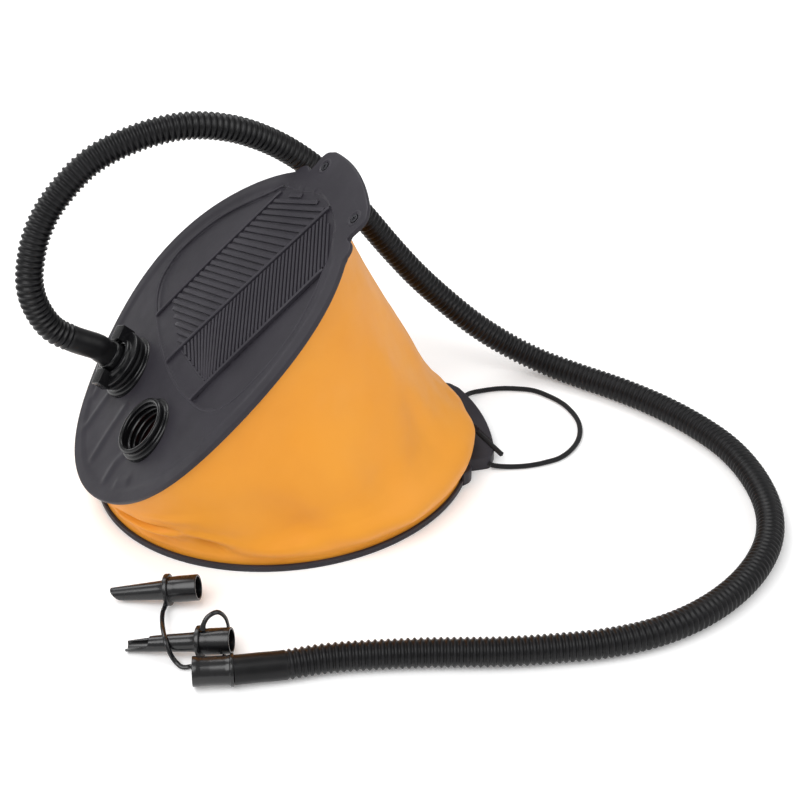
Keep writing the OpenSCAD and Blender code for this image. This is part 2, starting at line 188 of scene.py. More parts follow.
def plastic(name, colour, light, roughness, grain, depth, wear=0.5, specular=0.5):
    """Moulded plastic: a fine spark-eroded grain, cloudy colour and slightly rubbed edges."""
    look = Look(name, colour, roughness, specular=specular)
    cloud = look.noise(22, 5, distortion=0.4)
    fine = look.noise(grain, 3)
    base = look.ramp(cloud, colour, light)
    look.colour(look.edge_wear(base, tuple(min(1, c * 1.9) for c in light), wear))
    look.roughness(look.noise(60, 3), roughness - 0.05, roughness + 0.06)
    look.bump((fine, depth, 0.35), (look.noise(grain / 6, 2), depth * 2, 0.12))
    return look.mat


def fabric_look():
    """Coated woven polyester: a fine grid of threads under a smooth coat, with a soft sheen."""
    look = Look("orange_fabric", (0.8, 0.31, 0.026), 0.5, specular=0.32)
    cloud = look.noise(9, 4, distortion=0.6)
    base = look.ramp(cloud, (0.77, 0.29, 0.022), (0.83, 0.335, 0.030))
    look.colour(base)
    look.shader.inputs["Sheen Weight"].default_value = 0.05
    look.shader.inputs["Sheen Roughness"].default_value = 0.5
    look.shader.inputs["Sheen Tint"].default_value = (1.0, 0.75, 0.4, 1)
    weave = []
    for axis in ("X", "Z"):
        wave = look.new("ShaderNodeTexWave", bands_direction=axis)
        wave.inputs["Scale"].default_value = 420
        wave.inputs["Distortion"].default_value = 0.6
        wave.inputs["Detail"].default_value = 1
        look.join(look.coords, wave.inputs["Vector"])
        weave.append(wave.outputs["Fac"])
    both = look.new("ShaderNodeMath", operation="MAXIMUM")
    look.join(weave[0], both.inputs[0])
    look.join(weave[1], both.inputs[1])
    look.roughness(look.noise(35, 3), 0.43, 0.57)
    crumple = look.noise(26, 5, distortion=1.2)
    look.bump((both.outputs[0], 0.00012, 0.25), (crumple, 0.0012, 0.35))
    return look.mat


def metal_look(name, colour, roughness):
    look = Look(name, colour, roughness, metallic=1.0)
    brushed = look.noise(90, 4, stretch=(1, 8, 1))
    look.colour(look.ramp(brushed, tuple(c * 0.8 for c in colour), colour))
    look.roughness(brushed, roughness - 0.08, roughness + 0.1)
    look.bump((brushed, 0.00005, 0.3))
    return look.mat


def rope_look():
    look = Look("rope", (0.008, 0.008, 0.009), 0.75, specular=0.2)
    fuzz = look.noise(2600, 4)
    look.colour(look.ramp(fuzz, (0.004, 0.004, 0.005), (0.016, 0.016, 0.018)))
    look.shader.inputs["Sheen Weight"].default_value = 0.12
    look.bump((fuzz, 0.0003, 0.5))
    return look.mat


def rubber_look(name, colour, roughness):
    look = Look(name, colour, roughness, specular=0.35)
    cloud = look.noise(180, 5)
    look.colour(look.ramp(cloud, tuple(c * 0.8 for c in colour), tuple(c * 1.15 for c in colour)))
    look.roughness(cloud, roughness - 0.06, roughness + 0.08)
    look.bump((look.noise(1500, 2), 0.00008, 0.3))
    return look.mat


def hose_look():
    """Blown polyethylene: a satin skin whose ribs are rubbed paler than the valleys."""
    look = Look("hose", (0.005, 0.005, 0.0055), 0.36, specular=0.22)
    cloud = look.noise(70, 4, distortion=0.5)
    base = look.ramp(cloud, (0.004, 0.004, 0.0044), (0.007, 0.0068, 0.0075))
    look.colour(look.edge_wear(base, (0.03, 0.03, 0.034), 0.3))
    look.roughness(look.noise(240, 4), 0.28, 0.42)
    look.bump((look.noise(900, 3), 0.00006, 0.3))
    return look.mat


def gap_free(mat):
    mat.use_backface_culling = False
    return mat


LOOKS = {
    "plate_black": plastic(
        "plate", (0.021, 0.019, 0.0245), (0.029, 0.0265, 0.0335), 0.5, 1500, 0.00012, 0.3, 0.26),
    "bracket_black": plastic("bracket", (0.02, 0.02, 0.022), (0.028, 0.028, 0.03), 0.5, 1200, 0.0001),
    "steel": metal_look("steel", (0.62, 0.62, 0.64), 0.3),
    "screw_black": metal_look("screw", (0.09, 0.09, 0.1), 0.38),
    "fabric_orange": fabric_look(),
    "rope_black": rope_look(),
    "gloss_black": plastic(
        "gloss", (0.004, 0.004, 0.0045), (0.006, 0.006, 0.007), 0.22, 700, 0.00004, 0.3, 0.32),
    "flap_red": rubber_look("flap", (0.42, 0.05, 0.04), 0.5),
    "rubber_black": rubber_look("rubber", (0.016, 0.016, 0.017), 0.6),
    "hose_black": hose_look(),
    "nozzle_black": plastic(
        "nozzle", (0.004, 0.004, 0.0046), (0.007, 0.007, 0.008), 0.24, 900, 0.00005, 0.4, 0.5),
}
NODE_SLOT = {s["node"]: s["material_slot"] for s in frame["record"]["subparts"]}
for node_name, node_object in frame["nodes"].items():
    node_object.data.materials.clear()
    node_object.data.materials.append(gap_free(LOOKS[NODE_SLOT[node_name]]))


# ---- geometry helpers, all in millimetres ----

def bow(x):
    """How far the crowned top plate stands above its flat outer plane."""
    t = np.clip((np.asarray(x, float) - CROWN_X) / CROWN_REACH, -1, 1)
    return CROWN * (1 - t * t) ** 2


def unit(v):
    v = np.asarray(v, float)
    return v / np.linalg.norm(v)


def smooth(x):
    """An even ramp from 0 to 1."""
    x = np.clip(x, 0, 1)
    return x * x * (3 - 2 * x)


def turned(p, angle=OPEN):
    """Points turned about the hinge by an angle, or by one angle for each."""
    p = np.asarray(p, float)
    x, y, z = p[..., 0] - HINGE_X, p[..., 1], p[..., 2] - HINGE_Z
    c, s = np.cos(angle), np.sin(angle)
    return np.stack([HINGE_X + x * c - z * s, y + 0 * c, HINGE_Z + x * s + z * c], -1)


def spline(points, step):
    """A smooth line through the points, cut at equal steps."""
    p = np.array(points, float)
    q = np.vstack([2 * p[0] - p[1], p, 2 * p[-1] - p[-2]])
    t = np.linspace(0, 1, 24, endpoint=False)[:, None]
    parts = []
    for i in range(len(p) - 1):
        a, b, c, d = q[i:i + 4]
        parts.append(0.5 * (2 * b + (c - a) * t + (2 * a - 5 * b + 4 * c - d) * t ** 2
                            + (3 * b - a - 3 * c + d) * t ** 3))
    dense = np.vstack(parts + [p[-1:]])
    along = np.concatenate([[0], np.cumsum(np.linalg.norm(np.diff(dense, axis=0), axis=1))])
    where = np.linspace(0, along[-1], max(2, round(along[-1] / step)) + 1)
    return np.stack([np.interp(where, along, dense[:, k]) for k in range(3)], 1)


def line_length(path):
    return float(np.linalg.norm(np.diff(path, axis=0), axis=1).sum())


def frames(path, up=(0.1, 0, 1)):
    """Each point's direction along the path and two directions across it."""
    t = np.gradient(path, axis=0)
    t /= np.linalg.norm(t, axis=1)[:, None]
    n = np.array(up, float)
    ns = []
    for d in t:
        n = unit(n - (n @ d) * d)
        ns.append(n)
    ns = np.array(ns)
    return t, ns, np.cross(t, ns)


def grid_faces(rows, cols, closed_rows=False, closed_cols=True):
    faces = []
    for i in range(rows if closed_rows else rows - 1):
        j = (i + 1) % rows
        for k in range(cols if closed_cols else cols - 1):
            m = (k + 1) % cols
            faces.append((i * cols + k, i * cols + m, j * cols + m, j * cols + k))
    return faces


def swept(path, radii, sides, up=(0.1, 0, 1), squash=(1, 1), capped=True):
    """A tube along a path; radii has one number for each ring, or one for each point of each ring."""
    t, n, b = frames(path, up)
    angle = (np.arange(sides) + 0.5) * 2 * math.pi / sides
    radii = np.asarray(radii, float)
    if radii.ndim == 0:
        radii = np.full(len(path), float(radii))
    if radii.ndim == 1:
        radii = np.repeat(radii[:, None], sides, 1)
    points = (path[:, None, :] + radii[..., None] * (np.cos(angle)[None, :, None] * n[:, None, :] * squash[0]
              + np.sin(angle)[None, :, None] * b[:, None, :] * squash[1]))
    faces = grid_faces(len(path), sides)
    verts = points.reshape(-1, 3)
    if capped:
        faces.append(tuple(range(sides - 1, -1, -1)))
        faces.append(tuple((len(path) - 1) * sides + k for k in range(sides)))
    return verts, faces


def softened(profile, radius=0.5, steps=3):
    """A closed profile of (r, z) with each corner rounded; a third number gives a corner's own radius."""
    out = []
    count = len(profile)
    for i, corner in enumerate(profile):
        p = np.array(corner[:2], float)
        r = corner[2] if len(corner) > 2 else radius
        before, after = np.array(profile[i - 1][:2]), np.array(profile[(i + 1) % count][:2])
        if r <= 0:
            out.append(p)
            continue
        d1, d2 = before - p, after - p
        r1 = min(r, np.linalg.norm(d1) * 0.45)
        r2 = min(r, np.linalg.norm(d2) * 0.45)
        s, e = p + unit(d1) * r1, p + unit(d2) * r2
        for k in range(steps + 1):
            u = k / steps
            out.append((1 - u) ** 2 * s + 2 * u * (1 - u) * p + u * u * e)
    return out


def lathed(profile, sides=64, move=None):
    """A closed profile turned about the z axis; move may shift each ring's points by angle."""
    profile = np.array(profile, float)
    angle = np.arange(sides) * 2 * math.pi / sides
    r, z = profile[:, 0][:, None], profile[:, 1][:, None]
    points = np.stack([r * np.cos(angle), r * np.sin(angle), z + 0 * angle], -1)
    if move is not None:
        points = move(points, angle)
    return points.reshape(-1, 3), grid_faces(len(profile), sides, closed_rows=True)


def basis(direction, up=(0, 0, 1)):
    """Axes whose z points in a direction."""
    z = unit(direction)
    x = unit(np.array(up, float) - (np.array(up, float) @ z) * z)
    return np.stack([x, np.cross(z, x), z])


def placed(part, origin, axes):
    verts, faces = part
    return np.asarray(verts) @ axes + np.array(origin, float), faces


def at_port(part, side):
    """Stands a part on the outlet port (side 1) or the intake port (side -1)."""
    axes = np.array([[math.cos(OPEN), 0, math.sin(OPEN)], [0, 1, 0], OUT])
    return placed(part, turned((PORT_X, side * PORT_Y, STACK + PORT_RISE)), axes)


def merged(*parts):
    verts, faces, start = [], [], 0
    for v, f in parts:
        verts.append(np.asarray(v, float))
        faces += [tuple(k + start for k in face) for face in f]
        start += len(v)
    return np.vstack(verts), faces


def block(size, centre, bevel=0.8, spin=0.0):
    """A box with rounded edges."""
    bm = bmesh.new()
    bmesh.ops.create_cube(bm, size=1)
    for v in bm.verts:
        v.co = Vector((v.co.x * size[0], v.co.y * size[1], v.co.z * size[2]))
    bmesh.ops.bevel(bm, geom=bm.edges[:], offset=bevel, segments=3, profile=0.6, affect="EDGES")
    turn = Matrix.Rotation(spin, 3, "Z")
    verts = np.array([turn @ (v.co + Vector(centre)) for v in bm.verts])
    bm.verts.index_update()
    faces = [tuple(v.index for v in f.verts) for f in bm.faces]
    bm.free()
    return verts, faces


def piece(name, part, slot, body, sharp=38, weld=0.0):
    """A visible object from millimetre points; it rides on a body unless that is None."""
    verts, faces = part
    mesh = bpy.data.meshes.new("look_" + name)
    mesh.from_pydata((np.asarray(verts) * MM).tolist(), [], faces)
    bm = bmesh.new()
    bm.from_mesh(mesh)
    if weld:
        bmesh.ops.remove_doubles(bm, verts=bm.verts[:], dist=weld * MM)
        bmesh.ops.dissolve_degenerate(bm, edges=bm.edges[:], dist=weld * 0.5 * MM)
    bmesh.ops.recalc_face_normals(bm, faces=bm.faces[:])
    bm.to_mesh(mesh)
    bm.free()
    mesh.shade_smooth()
    mesh.set_sharp_from_angle(angle=math.radians(sharp))
    mesh.materials.append(LOOKS[slot])
    obj = link(bpy.data.objects.new("look_" + name, mesh))
    if body:
        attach(obj, body)
    return obj


# ---- the hose ----

HOSE_ROUTE = [
    (-118.1, 40, 94.8), (-122, 40, 98.9),
    (-126, 40, 103), (-141, 40, 112), (-154, 40, 123), (-162, 41, 139), (-165, 42, 157),
    (-162, 46, 175), (-154, 51, 195), (-139, 58, 214), (-112, 65, 235), (-79, 68, 247),
    (-45, 71, 250), (-12, 75, 242), (18, 80, 225), (44, 84, 203), (66, 87, 178),
    (87, 89, 150), (107, 89, 121), (128, 87, 93), (151, 84, 67), (176, 77, 43),
    (202, 68, 24), (227, 52, 13), (251, 28, 10), (274, 1, 10), (294, -28, 10),
    (310, -60, 10), (320, -92, 10), (322, -127, 10), (316, -162, 10), (302, -192, 10),
    (280, -217, 10), (252, -237, 10), (220, -251, 10), (186, -258, 10), (152, -258, 10),
    (118, -253, 10), (84, -246, 10), (33, -232, 10), (-18, -221, 10), (-52, -218, 10),
    (-67, -216, 10.3), (-83.5, -213.9, 10.6)]
RIB_PITCH = 4.2
RIB_DEPTH = 1.5

hose_path = spline(HOSE_ROUTE, RIB_PITCH / 7)
hose_path[:, 2] = np.maximum(hose_path[:, 2], HOSE_R + 0.05)
hose_s = np.linspace(0, line_length(hose_path), len(hose_path))
# Ribs fade out into the smooth cuff at each end
ribbed = smooth((hose_s - 31) / 1.5) * smooth((hose_s[-1] - 33 - hose_s) / 1.5)
wave = np.cos(hose_s * 2 * math.pi / RIB_PITCH)
valley = 0.5 - 0.5 * np.sign(wave) * np.abs(wave) ** 0.62
hose_r = HOSE_R - ribbed * RIB_DEPTH * valley - (1 - ribbed) * 0.35
hose = piece("hose", swept(hose_path, hose_r, 28, up=(0, 1, 0)), "hose_black", None, sharp=80)
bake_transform(hose)
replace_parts(hose, "hose_start_cuff", "hose_arc", "hose_drop", "hose_floor", "hose_end_cuff")


CUFF_B = np.array([-82.5, -214, 10.6])
SOCKET_B = np.array([-109, -208.5, 11.2])
socket_l = float(np.linalg.norm(SOCKET_B - CUFF_B))
nozzle_socket = piece("nozzle_socket", placed(lathed(softened(
    [(7.6, 0.9), (10.6, 0.9), (10.6, 3.0), (9.7, 3.3), (9.3, 6), (9.1, 16), (9.3, 22), (9.7, socket_l - 3),
     (9.7, socket_l), (7.6, socket_l)], 0.4), 56), CUFF_B, basis(SOCKET_B - CUFF_B)), "nozzle_black", "base")
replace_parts(nozzle_socket, "nozzle_socket")


# ---- the nozzles and their tethers ----

def nozzle_part(length, r_big, r_tip, cut):
    """A hollow nozzle from its open big end: cylinder, stop collar and taper; cut trims the tip by height."""
    collar = 21.0
    neck = r_big - 2.3
    outer = [(r_big - 1.5, 0.0, 0.5), (r_big, 0.0, 0.5), (r_big, 14, 1), (r_big - 0.3, collar - 1.6, 0.3),
             (r_big + 2, collar - 1.5, 0.6), (r_big + 2, collar + 1.5, 0.6), (neck + 0.5, collar + 1.7, 0.6),
             (neck, collar + 5, 1)]
    taper = [(neck + (r_tip - neck) * f, collar + 5 + (length - collar - 5) * f, 0)
             for f in (0.25, 0.5, 0.75, 0.9)]
    tip = [(r_tip, length, 0.25), (r_tip - 1.2, length, 0.25)]
    inner = [(r_tip - 1.2 + (neck - 1.5 - r_tip + 1.2) * (1 - f), collar + 5 + (length - collar - 5) * f, 0)
             for f in (0.9, 0.75, 0.5, 0.25, 0.0)]
    bore = [(r_big - 1.5, collar - 5, 1)]
    profile = np.array(softened(outer + taper + tip + inner + bore))

    def trim(points, angle):
        up = np.cos(angle)
        limit = cut(up, length)
        points[..., 2] = np.where(points[..., 2] > limit, limit, points[..., 2])
        return points
    return lathed(profile, 48, trim)


def slanted(up, length):
    """Where a bevelled tip ends, by how far up its side a point is."""
    return length - 7.5 * (1 - up) / 2


def notched(up, length):
    """Where a tip with its upper half cut back ends."""
    return length - 15 * smooth((up + 0.15) / 0.35) - 1.5 * smooth(up)


def nozzle(name, big, tip, r_big, r_tip, cut):
    big, tip = np.array(big, float), np.array(tip, float)
    part = nozzle_part(float(np.linalg.norm(tip - big)), r_big, r_tip, cut)
    obj = piece(name, placed(part, big, basis(tip - big)), "nozzle_black", "base", weld=0.02)
    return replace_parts(obj, name)


nozzle_short = nozzle("nozzle_short", (-91, -136, 15), (-147, -115, 5.0), 8.8, 4.5, slanted)
nozzle_long = nozzle("nozzle_long", (-80, -192, 15), (-145, -166, 5.0), 8.6, 4.6, notched)

TETHERS = {
    "tether_short": [
        (-112.3, -133.5, 7.5), (-115.2, -138.6, 5.4), (-117.1, -144.5, 7.5), (-119, -154.3, 10.8),
        (-120.4, -166, 14.8),
        (-120.9, -175, 16), (-120.8, -181.5, 14.6), (-119.8, -185, 10), (-118.2, -187, 5.5),
        (-116.2, -189.5, 2.8), (-113.7, -193, 2), (-110.6, -194.2, 2), (-108.2, -195.2, 3),
        (-107.2, -198.2, 5.6)],
    "tether_long": [
        (-97.2, -184.5, 21.6), (-96, -183, 25), (-93, -181, 28.5), (-88, -179.5, 30), (-84, -178, 27.5),
        (-80.5, -177.5, 21), (-79.5, -178.5, 12), (-81, -183, 5), (-85, -190, 3), (-90, -199, 3.5),
        (-93, -203.5, 6)]}


def tether(name):
    """A thin flat strap along its route, wider where it joins the nozzle and the socket."""
    path = spline(TETHERS[name], 1.2)
    ends = np.minimum(np.arange(len(path)), np.arange(len(path))[::-1]) * 1.2
    width = 1.6 + 0.5 * (1 - smooth(ends / 5))
    obj = piece(name, swept(path, width, 12, squash=(0.62, 1.0)), "nozzle_black", "base", sharp=60)
    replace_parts(obj, name)
    return obj


tether_short = tether("tether_short")
tether_long = tether("tether_long")


# ---- the rope ----

ROPE_ROUTE = [
    (154, 36, 6), (161, 41, 4), (171, 44, 2.1), (185, 43, 2.1), (198, 39, 2.1), (210.5, 32.5, 2.1),
    (219.5, 21.5, 2.1), (226, 9.5, 2.1), (229, -3.6, 2.1), (229, -17, 2.1), (225.5, -29.4, 2.1),
    (219, -40.5, 2.1), (210, -49.5, 2.1), (199, -56, 2.1), (186, -58.3, 2.1), (172, -58.3, 2.1),
    (160, -56, 2.1), (151, -54, 3), (145, -52, 4)]
ROPE_R = 1.9


def braided(path, radius, sides=24, lead=7.0, strands=4):
    """A braid: two families of strands that wind opposite ways and pass over each other."""
    s = np.concatenate([[0], np.cumsum(np.linalg.norm(np.diff(path, axis=0), axis=1))])[:, None]
    angle = ((np.arange(sides) + 0.5) * 2 * math.pi / sides)[None, :]
    turn = s * 2 * math.pi / lead
    right = np.cos(strands * (angle - turn))
    left = np.cos(strands * (angle + turn))
    over = np.maximum(right + 0.35 * np.cos(strands * 2 * turn), left - 0.35 * np.cos(strands * 2 * turn))
    return swept(path, radius * (0.82 + 0.18 * np.clip(over, -0.4, 1)), sides)


rope_path = spline(ROPE_ROUTE, 0.45)
rope = piece("rope_loop", braided(rope_path, ROPE_R + 0.1), "rope_black", "base", sharp=70)
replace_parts(rope, "rope_loop")
TAIL = np.linspace((146, -17.8, 9.9), (154, -49.5, 10.2), 80)
rope_tail = piece("rope_tail", braided(TAIL, ROPE_R + 0.1), "rope_black", "base", sharp=70)
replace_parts(rope_tail, "rope_tail")


# ---- outline of the plates, with their ears ----

def oval_radius(angle, a=A, b=B):
    """How far an oval reaches from its middle."""
    return 1 / np.sqrt((np.cos(angle) / a) ** 2 + (np.sin(angle) / b) ** 2)


def disc_reach(angle, x, y, r):
    """How far a disc reaches from the plate's middle, or 0 where it isn't met."""
    along = x * np.cos(angle) + y * np.sin(angle)
    off = x * x + y * y - along ** 2
    return np.where((off < r * r) & (along > 0), along + np.sqrt(np.maximum(0, r * r - off)), 0)


def box_reach(angle, x_low, x_high, y_high, curve=None):
    """How far a block beside the plate reaches from the middle; curve trims its outer end."""
    c, s = np.cos(angle), np.abs(np.sin(angle))
    reach = np.where(c > 0.01, x_high / np.maximum(c, 0.01), 0)
    if curve is not None:
        reach = np.minimum(reach, curve)
    reach = np.minimum(reach, y_high / np.maximum(s, 1e-6))
    return np.where((c > 0.01) & (reach * c >= x_low), reach, 0)


def outline_radius(angle, b=B):
    """How far the plate and its ear reach from the middle."""
    reach = oval_radius(angle, A, b)
    ear = box_reach(angle, 131, 171, 44, disc_reach(angle, 7, 0, 150))
    neck = box_reach(angle, 100, 132, 46)
    for other in (ear, neck):
        reach = np.maximum(reach, other)
    for s in (-1, 1):
        reach = np.maximum(reach, disc_reach(angle, 140, s * 43, 9))
        reach = np.maximum(reach, disc_reach(angle, 119, s * 56, 9))
    return reach


def to_polyline(points, line):
    """Each point's distance from a line of many points."""
    best = np.full(len(points), 1e9)
    for a, b in zip(line[:-1], line[1:]):
        d = b - a
        t = np.clip(((points - a) @ d) / (d @ d), 0, 1)
        best = np.minimum(best, np.linalg.norm(points - (a + t[:, None] * d), axis=1))
    return best


def inside(points, loop):
    """Which points a loop surrounds."""
    x, y = points[:, 0], points[:, 1]
    hits = np.zeros(len(points), bool)
    for (xa, ya), (xb, yb) in zip(loop, np.roll(loop, -1, axis=0)):
        crosses = (ya > y) != (yb > y)
        with np.errstate(divide="ignore", invalid="ignore"):
            at = (xb - xa) * (y - ya) / (yb - ya) + xa
        hits ^= crosses & (x < at)
    return hits


def flat_spline(points, step=1.5, closed=False):
    """A smooth flat line through the points, or a smooth loop."""
    p = [(x, y, 0) for x, y in points]
    if closed:
        whole = spline(p[-2:] + p + p[:2], step)
        gap = np.linalg.norm(whole - np.array(p[0]), axis=1)
        half = len(whole) // 2
        start, end = np.argmin(gap[:half]), half + np.argmin(gap[half:])
        whole = whole[start:end]
        return whole[:, :2]
    return spline(p, step)[:, :2]


# ---- the top plate's relief, in the closed plate's own x and y ----

# The relief is laid out on a flat plate. For each millimetre that the crown raises a point, its place
# on the flat layout is this much nearer the hinge and this much further back.
CROWN_ALONG, CROWN_ACROSS = 0.25, 1.27

BORDER = [
    (105, 63.5), (95, 71), (84, 79), (69, 89.5), (53, 99), (36, 105.5), (18, 109.5), (2, 110),
    (-11, 105.5), (-19, 99), (-26, 87), (-31, 70), (-34.5, 50), (-36.3, 25), (-36.3, 5), (-35, -13),
    (-32, -32), (-27, -50), (-22.5, -64), (-15, -77), (-6, -85), (6.5, -89.2), (22, -90), (36, -89),
    (49, -86.5), (66, -81), (80, -73.5), (92, -65), (101, -56.5), (110, -49.5), (119, -35), (126, -20),
    (128.6, 0), (127, 14), (121.5, 28), (114, 42)]
border = flat_spline(BORDER, closed=True)


def far_edge(x):
    """The tread strip's edge on the far side."""
    return 66.9 - 0.046 * (x + 32.5)


def near_edge(x):
    """The tread strip's edge on the near side."""
    return -50.4 - 0.033 * (x + 25.3)


def centre_ridge(x):
    """The ridge between the two lanes of ribs."""
    return 9.4 - 0.085 * (x + 38.1)


SOFT_RIBS = [
    [(-92, 41), (-104, 38), (-121, 33)],
    [(-82.7, 9.5), (-92, 6.5), (-108, 1), (-123, -6)],
    [(-94, -34.5), (-104, -34), (-116, -39)],
    [(-100, 62), (-108, 56)],
    [(-98, -62), (-107, -55)]]


def on_layout(x, y):
    """Where a point of the crowned plate lies on the flat layout."""
    return x - CROWN_ALONG * bow(x), y + CROWN_ACROSS * bow(x)


def crowned(line):
    """A line of the flat layout, moved to its place on the crowned plate."""
    line = np.asarray(line, float)
    lift = bow(line[:, 0])
    return line + np.stack([CROWN_ALONG * lift, -CROWN_ACROSS * lift], 1)


def relief(true_x, true_y):
    """Height of the top plate's face over its outer plane, with the crown."""
    rho = np.sqrt((true_x / A) ** 2 + (true_y / TOP_B) ** 2)
    to_edge = (1 - rho) * oval_radius(np.arctan2(true_y, true_x), A, TOP_B)
    x, y = on_layout(true_x, true_y)
    points = np.stack([x, y], 1)
    ear = smooth((true_x - 106) / 14) * smooth((70 - np.abs(true_y)) / 12)
    height = -0.9 * smooth((to_edge - 8.5) / 3.5) * (1 - ear)
    depth = to_polyline(points, np.vstack([border, border[:1]]))
    within = inside(points, border)
    strip = (y < far_edge(x)) & (y > near_edge(x))
    floor = np.where(strip, -0.9 - 0.7 * smooth(depth / 2.0), -0.9 - 1.9 * smooth(depth / 1.8))
    height = np.where(within, floor, height)
    for rib in SOFT_RIBS:
        line = flat_spline(rib, 3)
        height += 1.1 * np.exp(-(to_polyline(points, line) / 3.6) ** 2) * (1 - within)
    return height + bow(true_x)


def bar(line, width, top, low=-2.3, ends=0.8):
    """A low moulded bar along a line on the plate, with softened edges and ends."""
    line = crowned(line)
    t = np.gradient(line, axis=0)
    t /= np.linalg.norm(t, axis=1)[:, None]
    side = np.stack([-t[:, 1], t[:, 0]], 1)
    h = width / 2
    bevel = min(0.45, h * 0.5)
    section = [(-h, low), (-h, top - bevel), (-h + bevel, top), (h - bevel, top), (h, top - bevel), (h, low)]
    rows = []
    for i in range(len(line)):
        dip = ends * 0.6 if i in (0, len(line) - 1) else 0.0
        for off, z in section:
            fall = dip if z > low else 0
            rows.append((*(line[i] + side[i] * off), z - fall + float(bow(line[i, 0]))))
    faces = grid_faces(len(line), 6)
    faces.append(tuple(range(5, -1, -1)))
    faces.append(tuple((len(line) - 1) * 6 + k for k in range(6)))
    return np.array(rows), faces


def clipped(point, direction, polygon):
    """The stretch of a line that is inside a convex polygon."""
    hits = []
    for a, b in zip(polygon, np.roll(polygon, -1, axis=0)):
        d = b - a
        den = direction[0] * d[1] - direction[1] * d[0]
        if abs(den) < 1e-9:
            continue
        t = ((a[0] - point[0]) * d[1] - (a[1] - point[1]) * d[0]) / den
        u = ((a[0] - point[0]) * direction[1] - (a[1] - point[1]) * direction[0]) / den
        if 0 <= u <= 1:
            hits.append(t)
    if len(hits) < 2:
        return None
    return min(hits), max(hits)


def lane(polygon, pitch, count, start_x, slope, width, top, anchor_y):
    """Slanted ribs at even steps, cut to a polygon."""
    polygon = np.array(polygon, float)
    parts = []
    for i in range(count):
        x = start_x + i * pitch
        d = unit([slope(x), -1])
        p = np.array([x, anchor_y])
        hit = clipped(p, d, polygon)
        if hit is None or hit[1] - hit[0] < 3.5:
            continue
        a, b = p + d * (hit[0] + 0.6), p + d * (hit[1] - 0.6)
        w = width * (1 / math.sqrt(1 + slope(x) ** 2))
        line = np.vstack([a, a + np.outer([0.03, 0.2, 0.4, 0.6, 0.8, 0.97], b - a), b])
        parts.append(bar(line, w, top))
    return parts


FAR_LANE = [
    (-14.5, 64.5), (95, 59.5), (105, 48), (113, 35), (120, 18), (122.5, 5), (122.5, -2.5), (-20.8, 9.6)]
NEAR_LANE = [(-20.2, 6.2), (122.5, -6.0), (120, -22), (113, -37), (106, -53), (-10.2, -49.2)]


def far_slope(x):
    return 0.48 + 0.14 * float(smooth((x - 40) / 60))


def near_slope(x):
    return -0.22 - 0.2 * float(smooth((x + 15) / 40))


def along_x(line, start, end, count):
    """Points of a line that is given as y for each x."""
    x = np.linspace(start, end, count)
    return np.stack([x, line(x)], 1)


def tread_parts():
    """The ridges, the wells' edge and the two lanes of ribs."""
    parts = [bar(along_x(centre_ridge, -35.0, 127, 60), 2.6, 0.75),
             bar(np.vstack([border, border[:2]]), 1.9, -0.65, low=-3.2, ends=0),
             bar(along_x(far_edge, -31, 100.5, 50), 2.2, 0.45),
             bar(along_x(near_edge, -26, 102, 50), 2.2, 0.45),
             bar(np.linspace((-20.5, 5.6), (-10.4, -48.6), 12), 1.2, -0.6)]
    parts += lane(FAR_LANE, 5.7, 30, -52, far_slope, 3.7, -0.1, 62)
    parts += lane(NEAR_LANE, 3.75, 40, -16, near_slope, 2.2, -0.05, 5)
    return parts


def softly(values, spread):
    """Evens out a closed run of values, so that notches have round bottoms."""
    k = np.arange(-4, 5)
    weights = np.exp(-(k / spread) ** 2)
    weights /= weights.sum()
    return sum(w * np.roll(values, i) for i, w in zip(k, weights))


PLATE_SIDES = 600
PLATE_RINGS = 62
EAR_RINGS = 8
PORT_HOLE_R, SCREW_HOLE_R = 22.6, 4.9


